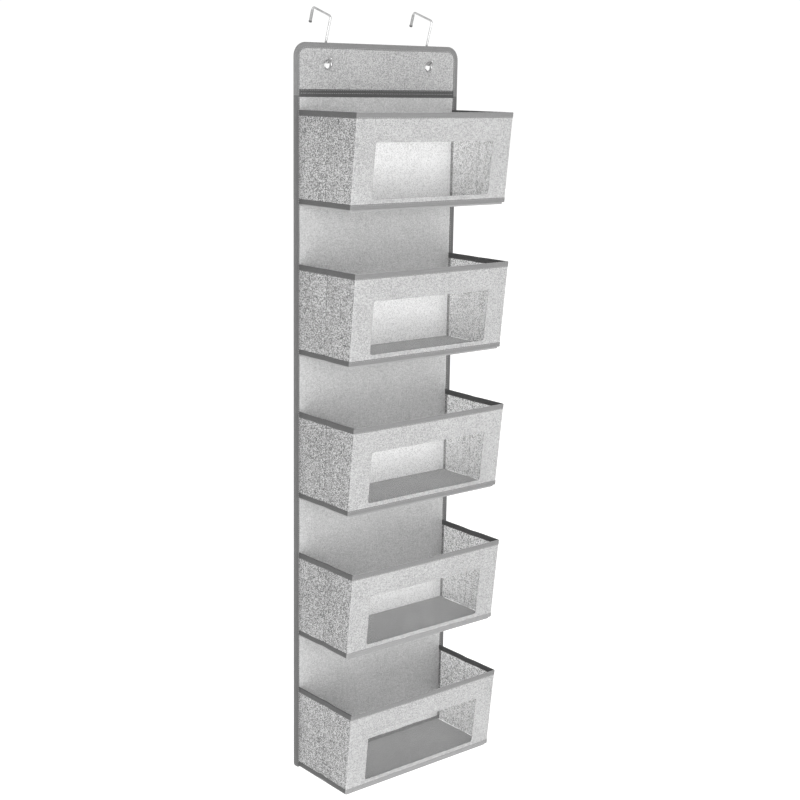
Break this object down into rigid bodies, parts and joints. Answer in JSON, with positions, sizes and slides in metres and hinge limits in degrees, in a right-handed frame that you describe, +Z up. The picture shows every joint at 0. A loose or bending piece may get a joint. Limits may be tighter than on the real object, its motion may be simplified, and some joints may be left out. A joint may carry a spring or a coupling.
{
  "type": "over-the-door hanging organizer",
  "caption": "Tall gray fabric organizer that hangs over a door on wire hooks, with clear-window box pockets that fold flat against the panel.",
  "frame": {"origin": "centre of the main back panel's rear lining, on the face that lies against the door", "axes": "+X to the viewer's right, -Y out of the pockets' fronts, +Y towards the door, +Z up"},
  "size_m": [0.34, 0.2021, 1.2865],
  "materials": {
    "front_cloth": "heathered light gray nonwoven fabric",
    "gusset_cloth": "mottled gray nonwoven fabric",
    "panel_cloth": "fine heathered gray nonwoven fabric",
    "lining_cloth": "plain gray nonwoven lining",
    "binding_tape": "ribbed dark gray binding tape with stitching",
    "base_cloth": "flat dark gray fabric over board",
    "board": "plain stiffening board",
    "clear_sheet": "clear soft plastic sheet",
    "eyelet_metal": "bright nickel plate",
    "hook_wire": "bright plated wire with dark end caps"
  },
  "bodies": {
    "header": {"header_cloth": "panel_cloth", "header_lining": "lining_cloth", "header_board": "board", "header_binding": "binding_tape", "seam_tape": "binding_tape", "left_eyelet": "eyelet_metal", "right_eyelet": "eyelet_metal"},
    "left_hook": {"left_hook": "hook_wire"},
    "right_hook": {"right_hook": "hook_wire"},
    "main_panel": {"back_cloth": "panel_cloth", "back_lining": "lining_cloth", "back_boards": "board", "back_binding": "binding_tape", "pocket_flanges": "gusset_cloth"},
    "pocket_1_left_rear_gusset": {"pocket_1_left_rear_gusset": "gusset_cloth"},
    "pocket_1_left_front_gusset": {"pocket_1_left_front_gusset": "gusset_cloth"},
    "pocket_1_right_rear_gusset": {"pocket_1_right_rear_gusset": "gusset_cloth"},
    "pocket_1_right_front_gusset": {"pocket_1_right_front_gusset": "gusset_cloth"},
    "pocket_1_front": {"pocket_1_front_panel": "front_cloth", "pocket_1_window": "clear_sheet", "pocket_1_front_binding": "binding_tape"},
    "pocket_1_base": {"pocket_1_base_panel": "base_cloth"},
    "pocket_2_left_rear_gusset": {"pocket_2_left_rear_gusset": "gusset_cloth"},
    "pocket_2_left_front_gusset": {"pocket_2_left_front_gusset": "gusset_cloth"},
    "pocket_2_right_rear_gusset": {"pocket_2_right_rear_gusset": "gusset_cloth"},
    "pocket_2_right_front_gusset": {"pocket_2_right_front_gusset": "gusset_cloth"},
    "pocket_2_front": {"pocket_2_front_panel": "front_cloth", "pocket_2_window": "clear_sheet", "pocket_2_front_binding": "binding_tape"},
    "pocket_2_base": {"pocket_2_base_panel": "base_cloth"},
    "pocket_3_left_rear_gusset": {"pocket_3_left_rear_gusset": "gusset_cloth"},
    "pocket_3_left_front_gusset": {"pocket_3_left_front_gusset": "gusset_cloth"},
    "pocket_3_right_rear_gusset": {"pocket_3_right_rear_gusset": "gusset_cloth"},
    "pocket_3_right_front_gusset": {"pocket_3_right_front_gusset": "gusset_cloth"},
    "pocket_3_front": {"pocket_3_front_panel": "front_cloth", "pocket_3_window": "clear_sheet", "pocket_3_front_binding": "binding_tape"},
    "pocket_3_base": {"pocket_3_base_panel": "base_cloth"},
    "pocket_4_left_rear_gusset": {"pocket_4_left_rear_gusset": "gusset_cloth"},
    "pocket_4_left_front_gusset": {"pocket_4_left_front_gusset": "gusset_cloth"},
    "pocket_4_right_rear_gusset": {"pocket_4_right_rear_gusset": "gusset_cloth"},
    "pocket_4_right_front_gusset": {"pocket_4_right_front_gusset": "gusset_cloth"},
    "pocket_4_front": {"pocket_4_front_panel": "front_cloth", "pocket_4_window": "clear_sheet", "pocket_4_front_binding": "binding_tape"},
    "pocket_4_base": {"pocket_4_base_panel": "base_cloth"},
    "pocket_5_left_rear_gusset": {"pocket_5_left_rear_gusset": "gusset_cloth"},
    "pocket_5_left_front_gusset": {"pocket_5_left_front_gusset": "gusset_cloth"},
    "pocket_5_right_rear_gusset": {"pocket_5_right_rear_gusset": "gusset_cloth"},
    "pocket_5_right_front_gusset": {"pocket_5_right_front_gusset": "gusset_cloth"},
    "pocket_5_front": {"pocket_5_front_panel": "front_cloth", "pocket_5_window": "clear_sheet", "pocket_5_front_binding": "binding_tape"},
    "pocket_5_base": {"pocket_5_base_panel": "base_cloth"}
  },
  "joints": [
    {"name": "header_seam", "type": "hinge", "parent": "header", "child": "main_panel", "pos_m": [0, -0.0047, 0.5745], "axis": [-1, 0, 0], "range_deg": [0, 80]},
    {"name": "left_hook_swing", "type": "hinge", "parent": "header", "child": "left_hook", "pos_m": [-0.105, -0.0019, 0.6355], "axis": [-1, 0, 0], "range_deg": [0, 40]},
    {"name": "right_hook_swing", "type": "hinge", "parent": "header", "child": "right_hook", "pos_m": [0.105, -0.0019, 0.6355], "axis": [-1, 0, 0], "range_deg": [0, 40]},
    {"name": "pocket_1_fold", "type": "hinge", "parent": "main_panel", "child": "pocket_1_left_rear_gusset", "pos_m": [-0.1596, -0.009, 0.4767], "axis": [0, 0, 1], "range_deg": [0, 86]},
    {"name": "pocket_1_left_crease", "type": "hinge", "parent": "pocket_1_left_rear_gusset", "child": "pocket_1_left_front_gusset", "pos_m": [-0.1623, -0.07688, 0.4767], "axis": [0.002, 0.0498, -0.9988], "range_deg": [0, 172]},
    {"name": "pocket_1_right_rear_fold", "type": "hinge", "parent": "main_panel", "child": "pocket_1_right_rear_gusset", "pos_m": [0.1596, -0.009, 0.4767], "axis": [0, 0, -1], "range_deg": [0, 86]},
    {"name": "pocket_1_right_crease", "type": "hinge", "parent": "pocket_1_right_rear_gusset", "child": "pocket_1_right_front_gusset", "pos_m": [0.1623, -0.07688, 0.4767], "axis": [0.002, -0.0498, 0.9988], "range_deg": [0, 172]},
    {"name": "pocket_1_front_corner", "type": "hinge", "parent": "pocket_1_left_front_gusset", "child": "pocket_1_front", "pos_m": [-0.1596, -0.1451, 0.4767], "axis": [0, -0.0995, 0.995], "range_deg": [0, 86]},
    {"name": "pocket_1_base_flap", "type": "hinge", "parent": "main_panel", "child": "pocket_1_base", "pos_m": [0, -0.0051, 0.4047], "axis": [-1, 0, 0], "range_deg": [0, 90]},
    {"name": "pocket_2_fold", "type": "hinge", "parent": "main_panel", "child": "pocket_2_left_rear_gusset", "pos_m": [-0.1596, -0.009, 0.2327], "axis": [0, 0, 1], "range_deg": [0, 86]},
    {"name": "pocket_2_left_crease", "type": "hinge", "parent": "pocket_2_left_rear_gusset", "child": "pocket_2_left_front_gusset", "pos_m": [-0.1623, -0.07688, 0.2327], "axis": [0.002, 0.0498, -0.9988], "range_deg": [0, 172]},
    {"name": "pocket_2_right_rear_fold", "type": "hinge", "parent": "main_panel", "child": "pocket_2_right_rear_gusset", "pos_m": [0.1596, -0.009, 0.2327], "axis": [0, 0, -1], "range_deg": [0, 86]},
    {"name": "pocket_2_right_crease", "type": "hinge", "parent": "pocket_2_right_rear_gusset", "child": "pocket_2_right_front_gusset", "pos_m": [0.1623, -0.07688, 0.2327], "axis": [0.002, -0.0498, 0.9988], "range_deg": [0, 172]},
    {"name": "pocket_2_front_corner", "type": "hinge", "parent": "pocket_2_left_front_gusset", "child": "pocket_2_front", "pos_m": [-0.1596, -0.1451, 0.2327], "axis": [0, -0.0995, 0.995], "range_deg": [0, 86]},
    {"name": "pocket_2_base_flap", "type": "hinge", "parent": "main_panel", "child": "pocket_2_base", "pos_m": [0, -0.0051, 0.1607], "axis": [-1, 0, 0], "range_deg": [0, 90]},
    {"name": "pocket_3_fold", "type": "hinge", "parent": "main_panel", "child": "pocket_3_left_rear_gusset", "pos_m": [-0.1596, -0.009, -0.0113], "axis": [0, 0, 1], "range_deg": [0, 86]},
    {"name": "pocket_3_left_crease", "type": "hinge", "parent": "pocket_3_left_rear_gusset", "child": "pocket_3_left_front_gusset", "pos_m": [-0.1623, -0.07688, -0.0113], "axis": [0.002, 0.0498, -0.9988], "range_deg": [0, 172]},
    {"name": "pocket_3_right_rear_fold", "type": "hinge", "parent": "main_panel", "child": "pocket_3_right_rear_gusset", "pos_m": [0.1596, -0.009, -0.0113], "axis": [0, 0, -1], "range_deg": [0, 86]},
    {"name": "pocket_3_right_crease", "type": "hinge", "parent": "pocket_3_right_rear_gusset", "child": "pocket_3_right_front_gusset", "pos_m": [0.1623, -0.07688, -0.0113], "axis": [0.002, -0.0498, 0.9988], "range_deg": [0, 172]},
    {"name": "pocket_3_front_corner", "type": "hinge", "parent": "pocket_3_left_front_gusset", "child": "pocket_3_front", "pos_m": [-0.1596, -0.1451, -0.0113], "axis": [0, -0.0995, 0.995], "range_deg": [0, 86]},
    {"name": "pocket_3_base_flap", "type": "hinge", "parent": "main_panel", "child": "pocket_3_base", "pos_m": [0, -0.0051, -0.0833], "axis": [-1, 0, 0], "range_deg": [0, 90]},
    {"name": "pocket_4_fold", "type": "hinge", "parent": "main_panel", "child": "pocket_4_left_rear_gusset", "pos_m": [-0.1596, -0.009, -0.2553], "axis": [0, 0, 1], "range_deg": [0, 86]},
    {"name": "pocket_4_left_crease", "type": "hinge", "parent": "pocket_4_left_rear_gusset", "child": "pocket_4_left_front_gusset", "pos_m": [-0.1623, -0.07688, -0.2553], "axis": [0.002, 0.0498, -0.9988], "range_deg": [0, 172]},
    {"name": "pocket_4_right_rear_fold", "type": "hinge", "parent": "main_panel", "child": "pocket_4_right_rear_gusset", "pos_m": [0.1596, -0.009, -0.2553], "axis": [0, 0, -1], "range_deg": [0, 86]},
    {"name": "pocket_4_right_crease", "type": "hinge", "parent": "pocket_4_right_rear_gusset", "child": "pocket_4_right_front_gusset", "pos_m": [0.1623, -0.07688, -0.2553], "axis": [0.002, -0.0498, 0.9988], "range_deg": [0, 172]},
    {"name": "pocket_4_front_corner", "type": "hinge", "parent": "pocket_4_left_front_gusset", "child": "pocket_4_front", "pos_m": [-0.1596, -0.1451, -0.2553], "axis": [0, -0.0995, 0.995], "range_deg": [0, 86]},
    {"name": "pocket_4_base_flap", "type": "hinge", "parent": "main_panel", "child": "pocket_4_base", "pos_m": [0, -0.0051, -0.3273], "axis": [-1, 0, 0], "range_deg": [0, 90]},
    {"name": "pocket_5_fold", "type": "hinge", "parent": "main_panel", "child": "pocket_5_left_rear_gusset", "pos_m": [-0.1596, -0.009, -0.4993], "axis": [0, 0, 1], "range_deg": [0, 86]},
    {"name": "pocket_5_left_crease", "type": "hinge", "parent": "pocket_5_left_rear_gusset", "child": "pocket_5_left_front_gusset", "pos_m": [-0.1623, -0.07688, -0.4993], "axis": [0.002, 0.0498, -0.9988], "range_deg": [0, 172]},
    {"name": "pocket_5_right_rear_fold", "type": "hinge", "parent": "main_panel", "child": "pocket_5_right_rear_gusset", "pos_m": [0.1596, -0.009, -0.4993], "axis": [0, 0, -1], "range_deg": [0, 86]},
    {"name": "pocket_5_right_crease", "type": "hinge", "parent": "pocket_5_right_rear_gusset", "child": "pocket_5_right_front_gusset", "pos_m": [0.1623, -0.07688, -0.4993], "axis": [0.002, -0.0498, 0.9988], "range_deg": [0, 172]},
    {"name": "pocket_5_front_corner", "type": "hinge", "parent": "pocket_5_left_front_gusset", "child": "pocket_5_front", "pos_m": [-0.1596, -0.1451, -0.4993], "axis": [0, -0.0995, 0.995], "range_deg": [0, 86]},
    {"name": "pocket_5_base_flap", "type": "hinge", "parent": "main_panel", "child": "pocket_5_base", "pos_m": [0, -0.0051, -0.5713], "axis": [-1, 0, 0], "range_deg": [0, 90]}
  ],
  "couplings": [
    {"joint": "pocket_1_left_crease", "follows": "pocket_1_fold", "ratio": 2},
    {"joint": "pocket_1_right_crease", "follows": "pocket_1_fold", "ratio": 2},
    {"joint": "pocket_1_right_rear_fold", "follows": "pocket_1_fold", "ratio": 1},
    {"joint": "pocket_1_front_corner", "follows": "pocket_1_fold", "ratio": 1},
    {"joint": "pocket_2_left_crease", "follows": "pocket_2_fold", "ratio": 2},
    {"joint": "pocket_2_right_crease", "follows": "pocket_2_fold", "ratio": 2},
    {"joint": "pocket_2_right_rear_fold", "follows": "pocket_2_fold", "ratio": 1},
    {"joint": "pocket_2_front_corner", "follows": "pocket_2_fold", "ratio": 1},
    {"joint": "pocket_3_left_crease", "follows": "pocket_3_fold", "ratio": 2},
    {"joint": "pocket_3_right_crease", "follows": "pocket_3_fold", "ratio": 2},
    {"joint": "pocket_3_right_rear_fold", "follows": "pocket_3_fold", "ratio": 1},
    {"joint": "pocket_3_front_corner", "follows": "pocket_3_fold", "ratio": 1},
    {"joint": "pocket_4_left_crease", "follows": "pocket_4_fold", "ratio": 2},
    {"joint": "pocket_4_right_crease", "follows": "pocket_4_fold", "ratio": 2},
    {"joint": "pocket_4_right_rear_fold", "follows": "pocket_4_fold", "ratio": 1},
    {"joint": "pocket_4_front_corner", "follows": "pocket_4_fold", "ratio": 1},
    {"joint": "pocket_5_left_crease", "follows": "pocket_5_fold", "ratio": 2},
    {"joint": "pocket_5_right_crease", "follows": "pocket_5_fold", "ratio": 2},
    {"joint": "pocket_5_right_rear_fold", "follows": "pocket_5_fold", "ratio": 1},
    {"joint": "pocket_5_front_corner", "follows": "pocket_5_fold", "ratio": 1}
  ]
}
